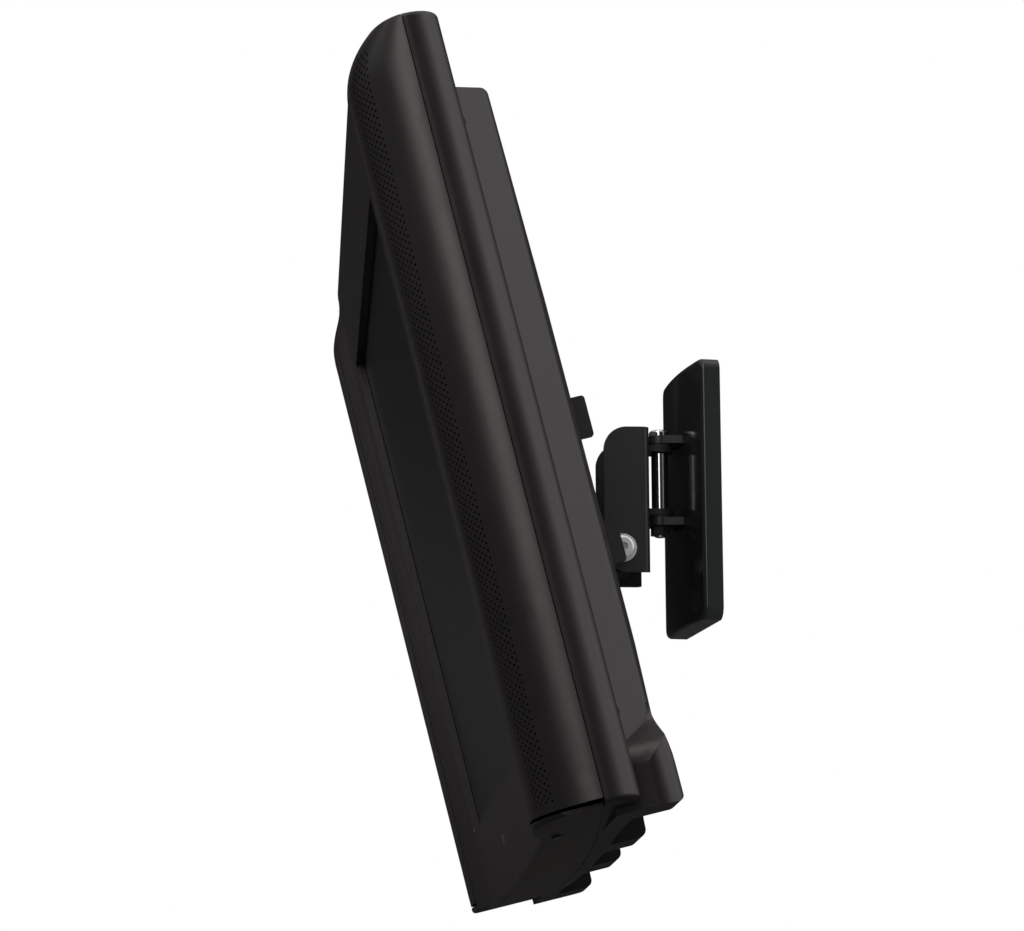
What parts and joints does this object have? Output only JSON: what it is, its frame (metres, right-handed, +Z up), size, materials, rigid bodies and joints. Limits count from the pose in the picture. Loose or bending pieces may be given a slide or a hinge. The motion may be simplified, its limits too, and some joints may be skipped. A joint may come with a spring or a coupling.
{
  "type": "television on a tilt and swivel wall bracket",
  "caption": "Flat-panel television with rounded speaker columns on a short wall bracket that tilts and swivels.",
  "frame": {"origin": "middle of the mounting plate's back face, on the wall", "axes": "+Z up, +Y into the wall, +X to the side of the set nearer the camera"},
  "size_m": [0.6312, 0.247, 0.4046],
  "materials": {
    "shell_plastic": "fine moulded texture, warm near-black",
    "rear_plastic": "moulded, slightly rougher than the front",
    "screen": "dark screen, half-gloss",
    "dark_steel": "black powder coat",
    "chrome": "polished",
    "zinc_steel": "zinc plated",
    "cover_plastic": "satin moulded cover",
    "board": "circuit board",
    "driver": "speaker cone and basket",
    "key_plastic": "gloss black",
    "window": "dark translucent window",
    "brass": "turned brass",
    "nylon": "black nylon",
    "socket_plastic": "moulded sockets"
  },
  "bodies": {
    "wall_mount": {"wall_base_plate": "dark_steel", "wall_cover": "cover_plastic", "swivel_yoke": "dark_steel", "yoke_screws": "zinc_steel", "swivel_pin": "chrome", "pin_retainer": "dark_steel"},
    "swivel_head": {"tilt_fork": "dark_steel", "pivot_barrel": "chrome", "pin_bushes": "nylon", "tilt_bolt": "chrome", "tilt_nut": "zinc_steel", "tilt_washers": "zinc_steel"},
    "television": {"vesa_plate": "dark_steel", "vesa_screws": "zinc_steel", "vesa_inserts": "brass", "speaker_cover_left": "shell_plastic", "speaker_cover_right": "shell_plastic", "front_bezel": "shell_plastic", "rear_cover": "rear_plastic", "lcd_panel": "screen", "panel_chassis": "zinc_steel", "main_board": "board", "power_board": "board", "speaker_driver_left": "driver", "speaker_driver_right": "driver", "connector_plate": "dark_steel", "signal_sockets": "socket_plastic", "power_inlet": "socket_plastic", "cover_screws": "dark_steel", "indicator_window": "window"},
    "power_key": {"power_button": "key_plastic"},
    "key_1": {"top_key_1": "key_plastic"},
    "key_2": {"top_key_2": "key_plastic"},
    "key_3": {"top_key_3": "key_plastic"},
    "key_4": {"top_key_4": "key_plastic"}
  },
  "joints": [
    {"name": "swivel", "type": "hinge", "parent": "wall_mount", "child": "swivel_head", "pos_m": [0, -0.0245, 0.01], "axis": [0, 0, 1], "range_deg": [-11.5, 28.5]},
    {"name": "tilt", "type": "hinge", "parent": "swivel_head", "child": "television", "pos_m": [-0.00361, -0.04863, -0.0329], "axis": [0.989, -0.1478, 0], "range_deg": [-14, 1]},
    {"name": "power_key_press", "type": "slide", "parent": "television", "child": "power_key", "axis": [-0.0358, -0.2393, 0.9703], "range_m": [0, 0.0008], "stiffness_N_per_m": 300, "springref_m": -0.001},
    {"name": "key_1_press", "type": "slide", "parent": "television", "child": "key_1", "axis": [0.0358, 0.2393, -0.9703], "range_m": [0, 0.0008], "stiffness_N_per_m": 300, "springref_m": -0.001},
    {"name": "key_2_press", "type": "slide", "parent": "television", "child": "key_2", "axis": [0.0358, 0.2393, -0.9703], "range_m": [0, 0.0008], "stiffness_N_per_m": 300, "springref_m": -0.001},
    {"name": "key_3_press", "type": "slide", "parent": "television", "child": "key_3", "axis": [0.0358, 0.2393, -0.9703], "range_m": [0, 0.0008], "stiffness_N_per_m": 300, "springref_m": -0.001},
    {"name": "key_4_press", "type": "slide", "parent": "television", "child": "key_4", "axis": [0.0358, 0.2393, -0.9703], "range_m": [0, 0.0008], "stiffness_N_per_m": 300, "springref_m": -0.001}
  ]
}
